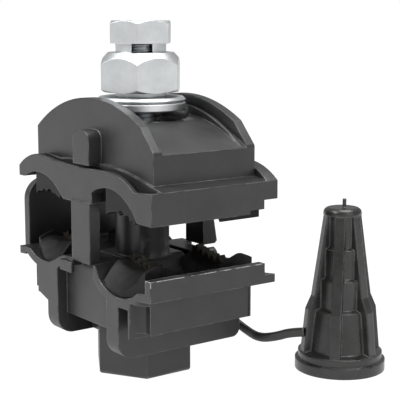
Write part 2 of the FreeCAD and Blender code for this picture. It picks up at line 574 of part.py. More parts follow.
def buildUpperHousing():
    owner = body("upper_housing")
    edge = wingOutline()
    # between the flanges the wings run out to a ledge beside the block
    ridge = edge[:2] + [
        ("blockHalf", "ledgeHigh"),
        ("crestX", "crest", "crestRound"),
        ("-crestX", "crest"),
        ("-blockHalf", "ledgeHigh", "crestRound"),
        ("-wingLeft", "wingEdge")] + edge[5:]
    dome = outline(owner, "DomeProfile", "XZ_Plane", ridge)
    pad(owner, "Dome", dome, "domeDeep", both=True)
    rear = outline(owner, "RearWingProfile", "XZ_Plane", edge, "-lipDeep / 2")
    pad(owner, "RearWing", rear, "lipDeep / 2 - domeDeep / 2 + weld")
    # front flange: dome on the tap side, band over the main arch, shelf to the skirt
    front = edge[:1] + [
        ("wingRight", "wingEdge"),
        ("shelfX", over("main", "shelfX", "archBand")),
        ("mainArchX", "mainArchZ + mainArch + archBand", "mainArch + archBand"),
        ("0", "domeTop - domeX ^ 2 / 2 / domeDip"),
        ("-domeX", "domeTop", "-domeDip")] + edge[4:]
    flange = outline(owner, "FlangeProfile", "XZ_Plane", front, "domeDeep / 2 - weld")
    pad(owner, "Flange", flange, "lipDeep / 2 - domeDeep / 2 + weld")
    gutter = outline(owner, "GutterProfile", "XZ_Plane", [
        ("-gutterLeft", "gutterFloor"),
        ("archLeft", "gutterFloor"),
        ("mainArchX", "mainArchZ + mainArch + gutterSkin"),
        ("archRight", over("main", "archRight", "gutterSkin"), "-(mainArch + gutterSkin)"),
        ("wingRight - skirtWall", over("main", "archRight", "gutterSkin")),
        ("wingRight - skirtWall", "domeTop + flange"),
        ("-gutterLeft", "domeTop + flange")], "domeDeep / 2")
    pocket(owner, "Gutter", gutter, "lipDeep / 2 - domeDeep / 2 - flange", ahead=True)
    block = outline(owner, "BlockProfile", "XZ_Plane", [
        ("-blockHalf", "blockFoot"),
        ("blockHalf", "blockFoot"),
        ("blockHalf", "rimEnd"),
        ("rimTurn", "roofZ + sqrt(roof ^ 2 - rimTurn ^ 2)"),
        ("-blockHalf", "roofZ + sqrt(roof ^ 2 - blockHalf ^ 2)", "roof")])
    pad(owner, "Block", block, "blockDeep", both=True)
    rounded(owner, "Eave", "eave", edgeAt(x=value("blockHalf"), z=value("rimEnd")))
    eave = "crownZ + sqrt(crown ^ 2 - blockHalf ^ 2)"
    sink = outline(owner, "RoofProfile", "XZ_Plane", [
        ("-blockHalf - spare", eave),
        ("-blockHalf", eave),
        ("blockHalf", eave, "-crown"),
        ("blockHalf + spare", eave),
        ("blockHalf + spare", "roofZ + roof + spare"),
        ("-blockHalf - spare", "roofZ + roof + spare")])
    pocket(owner, "Roof", sink, "blockDeep - 2 * rimWall", both=True)
    ridgeEnd = "roofZ + sqrt(ridge ^ 2 - ridgeHalf ^ 2)"
    comb = outline(owner, "RidgeProfile", "XZ_Plane", [
        ("-ridgeHalf", "blockFoot"),
        ("ridgeHalf", "blockFoot"),
        ("ridgeHalf", ridgeEnd),
        ("-ridgeHalf", ridgeEnd, "ridge")], "-ridgeFar")
    pad(owner, "Ridge", comb, "ridgeFar - ridgeNear")
    pilaster = outline(owner, "PilasterProfile", "XZ_Plane", [
        ("middle - pilasterWide / 2", "pilasterFoot"),
        ("middle + pilasterWide / 2", "pilasterFoot"),
        ("middle + pilasterWide / 2", "pilasterTop - pilasterRound"),
        ("middle + pilasterWide / 2 - pilasterRound", "pilasterTop", "pilasterRound"),
        ("middle - pilasterWide / 2 + pilasterRound", "pilasterTop"),
        ("middle - pilasterWide / 2", "pilasterTop - pilasterRound", "pilasterRound")], "blockDeep / 2 - weld")
    stone = pad(owner, "Pilaster", pilaster, "pilasterFront - blockDeep / 2 + weld")
    mirrored(owner, "RearPilaster", [stone])
    # guide posts
    post = outline(owner, "FrontPostProfile", "XZ_Plane",
                   rectangle("middle - postWide / 2", "middle + postWide / 2", "postFoot", "gutterFloor - weld"),
                   "postInner")
    pad(owner, "FrontPost", post, "postFront - postInner")
    barb = outline(owner, "RearPostProfile", "YZ_Plane", [
        ("postInner", "barbFoot"),
        ("barbReach - barbNose", "barbFoot"),
        ("barbReach", "barbFoot + barbNose"),
        ("postRear", "barbTop"),
        ("postRear", "gutterFloor - weld"),
        ("postInner", "gutterFloor - weld")], "middle")
    pad(owner, "RearPost", barb, "rearPostWide", both=True)
    # rear end of the skirt steps up twice
    step = outline(owner, "SkirtStepProfile", "YZ_Plane",
                   rectangle("skirtRear", "lipDeep", "skirtFoot - spare", "skirtFoot + skirtStep"), "skirtX - spare")
    pocket(owner, "SkirtStep", step, "wingRight", ahead=True)
    tab = outline(owner, "TabProfile", "YZ_Plane",
                  rectangle("skirtEnd", "lipDeep", "skirtFoot - spare", "tabFoot"), "skirtX - spare")
    pocket(owner, "TabStep", tab, "wingRight", ahead=True)
    # slots for the two upper blades
    slot = outline(owner, "BladeSlotProfile", "XZ_Plane",
                   rectangle("-bladeLeft - play", "bladeRight + play", "upMainRim", "bladeHead"),
                   "bladeY - bladeThick / 2 - sealGap")
    blade = pocket(owner, "BladeSlot", slot, "bladeThick + 2 * sealGap", ahead=True)
    mirrored(owner, "RearBladeSlot", [blade])
    # washer pocket, bolt hole and the bore over the bolt tube
    washer = circles(owner, "WasherPocketProfile", "XY_Plane", [("0", "0", "pocketDia")], "pocketFloor")
    pocket(owner, "WasherPocket", washer, "roof", ahead=True)
    hole = circles(owner, "BoltHoleProfile", "XY_Plane", [("0", "0", "boltHole")], "webFoot")
    pocket(owner, "BoltHole", hole, "roof", ahead=True)
    sleeve = circles(owner, "SleeveProfile", "XY_Plane", [("0", "0", "sleeveBore")], "webFoot - spare")
    pocket(owner, "Sleeve", sleeve, "sleeveTop - webFoot + spare", ahead=True)
    return owner


def buildBolt():
    owner = body("bolt")
    head = outline(owner, "HeadProfile", "XY_Plane", hexagon("headFlats", "30"), "headFoot")
    pad(owner, "Head", head, "headHigh")
    shank = circles(owner, "ShankProfile", "XY_Plane", [("0", "0", "boltDia")], "headFoot")
    pad(owner, "Shank", shank, "boltTop - headFoot")
    rounded(owner, "Lead", "boltLead", edgeAt(z=value("boltTop")), "PartDesign::Chamfer")
    return owner


seat = "(pocketFloor + washerGap)"


def buildFlatWasher():
    owner = body("flat_washer")
    ring = circles(owner, "Profile", "XY_Plane", [("0", "0", "washerDia"), ("0", "0", "washerHole")], seat)
    pad(owner, "Ring", ring, "washerThick")
    rounded(owner, "Round", "dishRound / 3", lambda edge: edge.Length > 3 * value("washerDia"),
            "PartDesign::Chamfer")
    return owner


def buildDishedWasher():
    owner = body("dished_washer")
    foot = seat + " + washerThick"
    profile = outline(owner, "Profile", "XZ_Plane", [
        ("washerHole / 2", foot),
        ("washerDia / 2 - dishRound", foot),
        ("washerDia / 2", foot + " + dishRound"),
        ("washerDia / 2 - dishRound", foot + " + 2 * dishRound"),
        ("collarDia / 2", foot + " + dishThick"),
        ("washerHole / 2", foot + " + dishThick")])
    turned(owner, "Ring", profile)
    return owner


def buildShearNut():
    owner = body("shear_nut")
    foot = seat + " + washerThick + dishThick"
    hexFoot = foot + " + collarHigh"
    hexTop = hexFoot + " + nutHigh"
    headFoot = hexTop + " + neckHigh"
    headTop = headFoot + " + capHigh"
    collar = circles(owner, "CollarProfile", "XY_Plane", [("0", "0", "collarDia")], foot)
    pad(owner, "Collar", collar, "collarHigh + weld")
    lower = outline(owner, "LowerHexProfile", "XY_Plane", hexagon("nutFlats", "nutAngle"), hexFoot)
    pad(owner, "LowerHex", lower, "nutHigh")
    neck = circles(owner, "NeckProfile", "XY_Plane", [("0", "0", "neckDia")], hexTop + " - weld")
    pad(owner, "Neck", neck, "neckHigh + 2 * weld")
    upper = outline(owner, "UpperHexProfile", "XY_Plane", hexagon("capFlats", "nutAngle"), headFoot)
    pad(owner, "UpperHex", upper, "capHigh")
    corner = "nutFlats / 2 / cos(30)"
    tip = "capFlats / 2 / cos(30)"
    cone = outline(owner, "ShoulderProfile", "XZ_Plane", [
        ("nutCone", hexTop),
        (corner, hexTop + " - nutConeDrop"),
        (corner + " + weld", hexTop + " - nutConeDrop"),
        (corner + " + weld", hexTop)])
    turned(owner, "Shoulder", cone, "PartDesign::Groove")
    base = outline(owner, "LowerChamferProfile", "XZ_Plane", [
        ("nutFlats / 2", hexFoot),
        (corner + " + weld", hexFoot),
        (corner + " + weld", hexFoot + " + hexChamfer"),
        (corner, hexFoot + " + hexChamfer")])
    turned(owner, "LowerChamfer", base, "PartDesign::Groove")
    crown = outline(owner, "UpperChamferProfile", "XZ_Plane", [
        ("capFlats / 2", headTop),
        (tip, headTop + " - hexChamfer"),
        (tip + " + weld", headTop + " - hexChamfer"),
        (tip + " + weld", headTop)])
    turned(owner, "UpperChamfer", crown, "PartDesign::Groove")
    bore = circles(owner, "BoreProfile", "XY_Plane", [("0", "0", "nutBore")], foot)
    pocket(owner, "Bore", bore, "nutFlats + nutFlats", ahead=True)
    # windows through the neck
    aside = "windowWide / 2 * sin(windowAngle)"
    ahead = "windowWide / 2 * cos(windowAngle)"
    farX = "neckDia * cos(windowAngle)"
    farY = "neckDia * sin(windowAngle)"
    window = outline(owner, "WindowProfile", "XY_Plane", [
        (aside, "-(%s)" % ahead),
        ("%s + %s" % (farX, aside), "%s - %s" % (farY, ahead)),
        ("%s - %s" % (farX, aside), "%s + %s" % (farY, ahead)),
        ("-(%s)" % aside, ahead)], hexTop)
    cut = pocket(owner, "Window", window, "neckHigh", ahead=True)
    ring = owner.newObject("PartDesign::PolarPattern", "Windows")
    ring.Originals = [cut]
    ring.Axis = (window, ["N_Axis"])
    ring.Angle = 360
    ring.Occurrences = 3
    owner.Tip = ring
    return owner


def buildBlade(label, upper, rear):
    owner = body(label)
    if upper:
        main, tap = ("upMainX", "upMainZ", "upMain"), ("upTapX", "upTapZ", "upTap")
        spine, web, sign, turn = "bladeHead", "webFoot", "+", ""
        centres = {"Main": "90", "Tap": "90"}
    else:
        main, tap = ("lowMainX", "lowMainZ", "lowMain"), ("lowTapX", "lowTapZ", "lowTap")
        spine, web, sign, turn = "bladeFoot", "partTop", "-", "-"
        centres = {"Main": "-90 + lowMainTurn", "Tap": "-90"}
    height = ("-" if rear else "") + "bladeY - bladeThick / 2"

    def edge(channel, across):
        """Height of the seal's saddle at a place across."""
        centreX, centreZ, radius = channel
        return "%s %s sqrt(%s ^ 2 - (%s - %s) ^ 2)" % (centreZ, sign, radius, across, centreX)

    points = [
        ("-bladeLeft", spine),
        ("bladeRight", spine),
        ("bladeRight", edge(main, "bladeRight")),
        ("bladeNear", edge(main, "bladeNear"), turn + main[2]),
        ("bladeNear", web),
        ("-bladeNear", web),
        ("-bladeNear", edge(tap, "bladeNear")),
        ("-bladeLeft", edge(tap, "bladeLeft"), turn + tap[2])]
    plate = outline(owner, "PlateProfile", "XZ_Plane", points, height)
    pad(owner, "Plate", plate, "bladeThick")
    for word, side, (centreX, centreZ, radius) in (("Main", "", main), ("Tap", "-", tap)):
        # one tooth at the end of the row, repeated about the saddle's axis
        base = radius + " + weld"
        tip = radius + " - toothHigh"
        first = "%s - (toothCount - 1) / 2 * toothStep" % centres[word]
        tooth = outline(owner, word + "ToothProfile", "XZ_Plane", [
            ("(%s) * cos(%s - toothStep / 2)" % (base, first), "(%s) * sin(%s - toothStep / 2)" % (base, first)),
            ("(%s) * cos(%s + toothStep / 2)" % (base, first), "(%s) * sin(%s + toothStep / 2)" % (base, first)),
            ("(%s) * cos(%s)" % (tip, first), "(%s) * sin(%s)" % (tip, first))], height)
        tooth.setExpression("AttachmentOffset.Base.x", full(side + centreX))
        tooth.setExpression("AttachmentOffset.Base.y", full(centreZ))
        made = pad(owner, word + "Tooth", tooth, "bladeThick")
        fan = owner.newObject("PartDesign::PolarPattern", word + "Teeth")
        fan.Originals = [made]
        fan.Axis = (tooth, ["N_Axis"])
        fan.setExpression("Angle", full("(toothCount - 1) * toothStep"))
        fan.setExpression("Occurrences", full("toothCount"))
        owner.Tip = fan
    return owner


def buildSeal(label, upper, channel, rear):
    owner = body(label)
    side = "" if channel == "main" else "-"
    name = ("up" if upper else "low") + channel.capitalize()
    end = name + "End"
    sign = "+" if upper else "-"

    def saddle(across):
        """Height of the seal's saddle at a place across."""
        return "%sZ %s sqrt(%s ^ 2 - (%s - %sX) ^ 2)" % (name, sign, name, across, name)

    if not upper and channel == "main":
        points = [
            ("mainLeft", under("main", "mainLeft")),
            (end, under("main", end), "mainSeat"),
            (end, "lowMainRim"),
            (end + " - rimWide", saddle("(%s - rimWide)" % end)),
            ("mainLeft + 2 * weld", saddle("(mainLeft + 2 * weld)"), "-" + name)]
    elif not upper:
        points = [
            ("-tapLeft + spare", under("tap", "(tapLeft - spare)")),
            ("-tapRight", under("tap", "tapRight"), "tapSeat"),
            ("-tapRight", saddle("tapRight")),
            ("-" + end, saddle(end), "-" + name)]
    elif channel == "main":
        rim = [(end, "upMainRim")] if rear else []
        points = [
            ("upMainNear", over("main", "upMainNear")),
            (end, over("main", end), "-mainArch")] + rim + [
            (end + " - rimWide", saddle("(%s - rimWide)" % end)),
            ("upMainLow", saddle("upMainLow"), name)]
    else:
        points = [
            ("-" + end, over("tap", end)),
            ("-webLeft - spare", over("tap", "(webLeft + spare)"), "-tapArch"),
            ("-webLeft - spare", saddle("(webLeft + spare)")),
            ("-" + end, saddle(end), name)]
    profile = outline(owner, "Profile", "XZ_Plane", points, "-sealFar" if rear else "sealNear")
    pad(owner, "Saddle", profile, "sealFar - sealNear")
    # the lower saddles open into a funnel at both ends
    if not upper:
        for word, near, far, wide in (("Funnel", "funnelNear", "sealFar", "funnelWide"),
                                      ("Throat", "throatNear", "sealNear", "throatWide")):
            bell = outline(owner, word + "Profile", "YZ_Plane", [
                ("%s%s" % ("" if rear else "-", near), "-%s" % name),
                ("%s%s" % ("" if rear else "-", far), "-(%s + %s)" % (name, wide)),
                ("%s%s" % ("" if rear else "-", far), "-%s / 2" % name)], side + name + "X")
            bell.setExpression("AttachmentOffset.Base.y", full(name + "Z"))
            cone = turned(owner, word, bell, "PartDesign::Groove")
            cone.ReferenceAxis = (bell, ["H_Axis"])
    blade = ("-" if rear else "") + "bladeY"
    cut = outline(owner, "BladeSlotProfile", "XZ_Plane",
                  rectangle("-bladeLeft - play", "bladeRight + play", "0", "boltTop"),
                  blade + " - bladeThick / 2 - sealGap")
    pocket(owner, "BladeSlot", cut, "bladeThick + 2 * sealGap", ahead=True)
    return owner


def buildEndCap():
    owner = body("end_cap")
    profile = outline(owner, "CoreProfile", "XZ_Plane", [
        ("skirtRadius - capWall", "0"),
        ("capFlange", "0"),
        ("capFlange", "capFlangeHigh"),
        ("skirtRadius", "capFlangeHigh"),
        ("skirtRadius", "panelFoot - ledgeDrop"),
        ("panelOne", "panelFoot"),
        ("panelOneTop", "ledgeOne"),
        ("panelTwo", "ledgeOne + ledgeDrop"),
        ("panelTwo", "ledgeTwo"),
        ("panelThree", "ledgeTwo + ledgeDrop"),
        ("panelThree", "ledgeThree"),
        ("panelFour", "ledgeThree + ledgeDrop"),
        ("panelFour", "discFoot"),
        ("coneTop", "discFoot"),
        ("coneTop", "capTop - capRound"),
        ("coneTop - capRound", "capTop", "capRound"),
        ("0", "capTop"),
        ("0", "capTop - 2 * capWall"),
        ("panelFour - capWall", "capTop - 2 * capWall"),
        ("panelFour - capWall", "ledgeThree"),
        ("panelThree - capWall", "ledgeTwo"),
        ("panelTwo - capWall", "ledgeOne"),
        ("panelOne - capWall", "panelFoot")])
    turned(owner, "Core", profile)
    rib = outline(owner, "RibProfile", "XZ_Plane", [
        ("panelFour - weld", "discFoot + weld"),
        ("panelFour - weld", "ledgeThree"),
        ("panelThree - weld", "ledgeTwo"),
        ("panelTwo - weld", "ledgeOne"),
        ("panelOne - weld", "panelFoot - weld"),
        ("skirtRadius - weld", "panelFoot - ledgeDrop - weld"),
        ("skirtTopRadius", "skirtHigh"),
        ("coneFoot", "coneStart"),
        ("coneTop - weld", "discFoot + weld")])
    first = pad(owner, "Rib", rib, "ribWide", both=True)
    ribs = owner.newObject("PartDesign::PolarPattern", "Ribs")
    ribs.Originals = [first]
    ribs.Axis = (rib, ["V_Axis"])
    ribs.Angle = 360
    ribs.setExpression("Occurrences", full("ribCount"))
    owner.Tip = ribs
    nub = circles(owner, "NubProfile", "XY_Plane", [("nubX", "nubY", "nubDia")], "capTop - weld")
    pad(owner, "Nub", nub, "nubHigh + weld")
    return owner


def buildStrap():
    """Flat tether: straight runs joined by tangent arcs, from the core's rear to the cap."""
    route = [
        (0.0, 13.8, 13.0),
        (1.0, 18.4, 11.4),
        (5.2, 21.8, 8.9),
        (10.4, 22.5, 6.8),
        (15.4, 22.4, 6.0),
        (20.0, 23.6, 7.2),
        (23.0, 25.4, 8.6),
        (25.5, 27.4, 8.9)]
    spots = [FreeCAD.Vector(*point) for point in route]
    edges = []
    start = spots[0]
    for before, corner, after in zip(spots, spots[1:], spots[2:]):
        near = (before - corner).normalize()
        far = (after - corner).normalize()
        half = (math.pi - near.getAngle(far)) / 2
        reach = 0.45 * min((before - corner).Length, (after - corner).Length)
        radius = reach / math.tan(half)
        print("strap radius %.1f, turn %.0f degrees" % (radius, math.degrees(2 * half)))
        first = corner + near * reach
        last = corner + far * reach
        middle = corner + (near + far).normalize() * (radius / math.cos(half) - radius)
        edges.append(Part.LineSegment(start, first).toShape())
        edges.append(Part.Arc(first, middle, last).toShape())
        start = last
    edges.append(Part.LineSegment(start, spots[-1]).toShape())
    path = Part.Wire(edges)
    ahead = (spots[1] - spots[0]).normalize()
    across = FreeCAD.Vector(0, 0, 1).cross(ahead).normalize()
    rise = ahead.cross(across)
    wide = value("strapWide") / 2
    thick = value("strapThick") / 2
    corners = [spots[0] + across * (thick * a) + rise * (wide * b) for a, b in ((-1, -1), (1, -1), (1, 1), (-1, 1))]
    section = Part.makePolygon(corners + corners[:1])
    solid = path.makePipeShell([section], True, False)
    print("strap volume %.1f, section by length %.1f" % (solid.Volume, 4 * wide * thick * path.Length))
    made = doc.addObject("Part::Feature", "cap_strap")
    made.Label = "cap_strap"
    made.Shape = solid
    made.Placement = FreeCAD.Placement()
    return made


pieces = [buildLowerHousing(), buildUpperHousing(), buildBolt()]
pieces += [buildShearNut(), buildFlatWasher(), buildDishedWasher()]
for upper, level in ((False, "lower"), (True, "upper")):
    for rear, end in ((False, "front"), (True, "rear")):
        pieces.append(buildBlade("blade_%s_%s" % (level, end), upper, rear))
        for channel in ("main", "tap"):
            pieces.append(buildSeal("seal_%s_%s_%s" % (level, channel, end), upper, channel, rear))
cap = buildEndCap()
cap.setExpression("Placement.Base.x", full("capX"))
cap.setExpression("Placement.Base.y", full("capY"))
cap.setExpression("Placement.Rotation.Angle", full("ribAngle"))
cap.Placement = FreeCAD.Placement(FreeCAD.Vector(value("capX"), value("capY"), 0),
                                  FreeCAD.Rotation(FreeCAD.Vector(0, 0, 1), value("ribAngle")))
pieces.append(cap)
pieces.append(buildStrap())
doc.recompute()

for item in doc.Objects:
    if "Invalid" in item.State or "Error" in item.State:
        raise RuntimeError("failed: %s %s" % (item.Label, item.State))
os.makedirs("parts", exist_ok=True)
for piece in pieces:
    if piece.Shape.isNull() or not piece.Shape.isValid():
        raise RuntimeError("bad shape: " + piece.Label)
    print("%s: %d solid, %.0f mm3" % (piece.Label, len(piece.Shape.Solids), piece.Shape.Volume))
for piece in pieces:
    piece.Shape.exportStep("parts/%s.step" % piece.Label)
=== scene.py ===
import math
import bmesh
import bpy
import numpy as np
from mathutils import Matrix, Vector


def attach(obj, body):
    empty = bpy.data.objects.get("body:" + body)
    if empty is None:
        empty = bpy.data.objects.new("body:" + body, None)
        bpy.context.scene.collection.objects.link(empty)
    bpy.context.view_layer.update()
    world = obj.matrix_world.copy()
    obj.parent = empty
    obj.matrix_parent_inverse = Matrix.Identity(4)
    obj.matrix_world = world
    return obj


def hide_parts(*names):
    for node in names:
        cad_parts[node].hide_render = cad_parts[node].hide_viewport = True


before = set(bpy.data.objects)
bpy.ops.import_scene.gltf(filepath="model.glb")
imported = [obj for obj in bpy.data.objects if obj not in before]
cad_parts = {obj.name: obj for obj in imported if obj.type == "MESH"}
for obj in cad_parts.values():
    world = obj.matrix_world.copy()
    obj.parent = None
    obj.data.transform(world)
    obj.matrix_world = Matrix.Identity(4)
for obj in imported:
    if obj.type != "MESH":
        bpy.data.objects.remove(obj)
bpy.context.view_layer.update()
scene = bpy.context.scene
print("frame loaded:", len(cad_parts), "solids")

# Camera: three-quarter view from the front of the tap side, seen slightly from above
camera = {
    "place": (0.214244, -0.143339, 0.081825),
    "right": (0.5975, 0.80187, 0.0),
    "up": (-0.13139, 0.09791, 0.98648),
    "lens": 102.43,
    "shiftX": 0.0022,
    "shiftY": -0.00046,
}
lookout = bpy.data.objects.new("lookout", bpy.data.cameras.new("lookout"))
scene.collection.objects.link(lookout)
sideways, upward = Vector(camera["right"]).normalized(), Vector(camera["up"]).normalized()
backward = sideways.cross(upward)
turnMatrix = Matrix((sideways, upward, backward)).transposed().to_4x4()
lookout.matrix_world = Matrix.Translation(camera["place"]) @ turnMatrix
lookout.data.lens = camera["lens"]
lookout.data.shift_x, lookout.data.shift_y = camera["shiftX"], camera["shiftY"]
lookout.data.clip_start, lookout.data.clip_end = 0.01, 20
scene.camera = lookout


class Signal:
    # One socket's value. Arithmetic on it adds Math nodes, also with a plain number on the left.
    def __init__(self, finish, socket):
        self.finish, self.socket = finish, socket

    def __add__(self, other):
        return self.finish.sum("ADD", self, other)

    def __radd__(self, other):
        return self.finish.sum("ADD", other, self)

    def __rsub__(self, other):
        return self.finish.sum("SUBTRACT", other, self)

    def __mul__(self, other):
        return self.finish.sum("MULTIPLY", self, other)

    def __gt__(self, other):
        return self.finish.sum("GREATER_THAN", self, other)

    def __lt__(self, other):
        return self.finish.sum("LESS_THAN", self, other)


class Finish:
    # One material: its Principled shader, its node maker and the few patterns that every finish uses
    def __init__(self, name, constants):
        self.material = bpy.data.materials.new(name)
        self.material.use_nodes = True
        self.tree = self.material.node_tree
        self.shader = self.tree.nodes["Principled BSDF"]
        for socketName, number in constants.items():
            self.shader.inputs[socketName].default_value = number
        self.place = self.node("ShaderNodeTexCoord", out="Object")

    def node(self, kind, settings=None, inputs=None, out=0):
        made = self.tree.nodes.new(kind)
        for key, setting in (settings or {}).items():
            setattr(made, key, setting)
        for key, entry in (inputs or {}).items():
            if isinstance(entry, Signal):
                self.tree.links.new(entry.socket, made.inputs[key])
            else:
                made.inputs[key].default_value = entry
        return Signal(self, made.outputs[out])

    def sum(self, operation, first, second):
        return self.node("ShaderNodeMath", {"operation": operation}, {0: first, 1: second})

    def clamp(self, signal):
        return self.node("ShaderNodeClamp", None, {"Value": signal})

    def noise(self, size, detail, roughness=0.6):
        # size is the width of a blotch in metres
        return self.node("ShaderNodeTexNoise", None, {
            "Vector": self.place, "Scale": 1 / size, "Detail": detail, "Roughness": roughness})

    def ramp(self, signal, low, high):
        # 0 below low, 1 above high, straight between
        return self.node("ShaderNodeMapRange", {"clamp": True}, {
            "Value": signal, "From Min": low, "From Max": high})

    def between(self, mask, first, second):
        # first where the mask is 0, second where it is 1; both are colours
        return self.node("ShaderNodeMix", {"data_type": "RGBA"}, {0: mask, 6: first, 7: second}, 2)

    def edges(self, radius):
        # 0 on plain faces, rising towards 1 along sharp edges and corners
        rounded = self.node("ShaderNodeBevel", {"samples": 6}, {"Radius": radius})
        true = self.node("ShaderNodeNewGeometry", out="True Normal")
        facing = self.node("ShaderNodeVectorMath", {"operation": "DOT_PRODUCT"}, {
            0: rounded, 1: true}, "Value")
        return 1 - facing

    def wire(self, socketName, signal):
        self.tree.links.new(signal.socket, self.shader.inputs[socketName])

    def relief(self, height, strength, distance, radius):
        # a bump in metres of depth, over edges that are rounded to the given radius
        rounded = self.node("ShaderNodeBevel", {"samples": 6}, {"Radius": radius})
        self.wire("Normal", self.node("ShaderNodeBump", None, {
            "Height": height, "Strength": strength, "Distance": distance, "Normal": rounded}))


def mouldedPlastic():
    look = {"face": (0.019, 0.019, 0.019, 1), "pale": (0.035, 0.035, 0.035, 1),
            "wornAndHighlight": (0.36, 0.36, 0.36, 1), "bruised": (0.75, 0.75, 0.74, 1),
            "plateAcross": 0.0212, "plateLow": 0.026, "plateHigh": 0.034, "edge": 0.0004}
    plastic = Finish("mouldedPlastic", {"IOR": 1.53, "Specular IOR Level": 0.55})
    cloud = plastic.noise(0.009, 5)
    grain = plastic.noise(0.0005, 3, 0.7)
    scuffs = plastic.ramp(plastic.noise(0.0022, 6, 0.75), 0.60, 0.72)
    # pale colour along edges, in patches: partly real wear of the edges, partly a painted highlight along
    # them
    wearAndHighlightSpots = plastic.ramp(plastic.noise(0.004, 4), 0.42, 0.62)
    wearAndHighlight = plastic.clamp(plastic.ramp(plastic.edges(look["edge"]), 0.05, 0.22) * wearAndHighlightSpots)
    # the side plate's upper edge is bruised
    across = plastic.node("ShaderNodeSeparateXYZ", None, {0: plastic.place}, 0)
    height = plastic.node("ShaderNodeSeparateXYZ", None, {0: plastic.place}, 2)
    plate = (across > look["plateAcross"]) * (height > look["plateLow"]) * (height < look["plateHigh"])
    bruiseSpots = plastic.ramp(plastic.noise(0.003, 6, 0.75), 0.44, 0.52)
    bruise = plate * plastic.ramp(plastic.edges(look["edge"]), 0.02, 0.12) * bruiseSpots
    base = plastic.between(plastic.ramp(cloud, 0.35, 0.7), look["face"], look["pale"])
    wearAndHighlightColour = plastic.between(wearAndHighlight * 0.75, base, look["wornAndHighlight"])
    plastic.wire("Base Color", plastic.between(bruise, wearAndHighlightColour, look["bruised"]))
    plastic.wire("Roughness", plastic.clamp(0.32 + cloud * 0.14 + scuffs * 0.12))
    plastic.relief(grain + plastic.noise(0.003, 2) * 1.8, 0.35, 0.00007, 0.0005)
    return plastic.material


def softPlastic():
    look = {"face": (0.014, 0.014, 0.013, 1), "pale": (0.036, 0.036, 0.035, 1),
            "paintedHighlight": (0.26, 0.26, 0.255, 1)}
    vinyl = Finish("softPlastic", {"IOR": 1.52, "Specular IOR Level": 0.6})
    cloud = vinyl.noise(0.006, 5)
    # paler colour along the edges, in patches: a painted highlight on the rib edges
    highlightSpots = vinyl.ramp(vinyl.noise(0.005, 4), 0.42, 0.60)
    highlightMask = vinyl.clamp(vinyl.ramp(vinyl.edges(0.0005), 0.03, 0.25) * highlightSpots)
    base = vinyl.between(vinyl.ramp(cloud, 0.35, 0.7), look["face"], look["pale"])
    vinyl.wire("Base Color", vinyl.between(highlightMask * 0.7, base, look["paintedHighlight"]))
    vinyl.wire("Roughness", vinyl.clamp(0.20 + cloud * 0.18))
    vinyl.relief(vinyl.noise(0.0022, 4), 0.35, 0.00016, 0.0006)
    return vinyl.material


def sealRubber():
    look = {"face": (0.007, 0.007, 0.007, 1), "dusty": (0.024, 0.024, 0.024, 1)}
    rubber = Finish("sealRubber", {"IOR": 1.45, "Specular IOR Level": 0.32})
    cloud = rubber.noise(0.004, 5)
    rubber.wire("Base Color", rubber.between(rubber.ramp(cloud, 0.45, 0.75), look["face"], look["dusty"]))
    rubber.wire("Roughness", rubber.clamp(0.42 + cloud * 0.2))
    rubber.relief(rubber.noise(0.0008, 3), 0.3, 0.00008, 0.0003)
    return rubber.material


def plainMetal(name, face, dull, roughness, grain):
    metal = Finish(name, {"Metallic": 1.0})
    cloud = metal.noise(0.005, 5)
    fine = metal.noise(grain, 4, 0.7)
    metal.wire("Base Color", metal.between(metal.ramp(cloud, 0.35, 0.7), face, dull))
    metal.wire("Roughness", metal.clamp(roughness + cloud * 0.12))
    metal.relief(fine, 0.3, 0.00003, 0.0002)
    return metal.material


finishes = {
    "housing": mouldedPlastic(),
    "soft_plastic": softPlastic(),
    "seal": sealRubber(),
    # the blades' metal colour is darkened far below tinned metal: painted shade for the dark inside of the
    # channels
    "blade": plainMetal("tinnedBlade", (0.060, 0.055, 0.048, 1), (0.030, 0.028, 0.024, 1), 0.48, 0.0006),
    "zinc": plainMetal("zincPlate", (0.71, 0.73, 0.735, 1), (0.58, 0.60, 0.61, 1), 0.36, 0.0009),
    "bolt_steel": plainMetal("boltSteel", (0.60, 0.62, 0.64, 1), (0.48, 0.50, 0.52, 1), 0.32, 0.0006),
}
nodeSlots = {
    "lower_housing": "housing", "upper_housing": "housing", "end_cap": "soft_plastic",
    "bolt": "bolt_steel", "shear_nut": "zinc", "flat_washer": "zinc", "dished_washer": "zinc",
}
for nodeName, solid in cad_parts.items():
    slotName = nodeSlots.get(nodeName) or ("blade" if nodeName.startswith("blade") else "seal")
    solid.data.materials.clear()
    solid.data.materials.append(finishes[slotName])
print("finishes on the solids")


def gridMesh(name, points, smooth=True, closed=False):
    # points[i, j] is the surface at step i along and step j around; each step's four corners make a face,
    # and the first and last rows each make one more where the ends are closed
    rows, columns = points.shape[:2]
    i, j = np.meshgrid(np.arange(rows - 1), np.arange(columns), indexing="ij")
    i, j = i.ravel() * columns, j.ravel()
    far, along = i + columns, (j + 1) % columns
    faces = np.stack([i + j, far + j, far + along, i + along], 1).tolist()
    if closed:
        faces += [list(range(columns))[::-1], list(range((rows - 1) * columns, rows * columns))]
    mesh = bpy.data.meshes.new(name)
    mesh.from_pydata(points.reshape(-1, 3).tolist(), [], faces)
    work = bmesh.new()
    work.from_mesh(mesh)
    bmesh.ops.remove_doubles(work, verts=work.verts, dist=1e-7)
    bmesh.ops.recalc_face_normals(work, faces=work.faces)
    work.to_mesh(mesh)
    work.free()
    mesh.polygons.foreach_set("use_smooth", np.full(len(mesh.polygons), smooth))
    made = bpy.data.objects.new(name, mesh)
    scene.collection.objects.link(made)
    return made


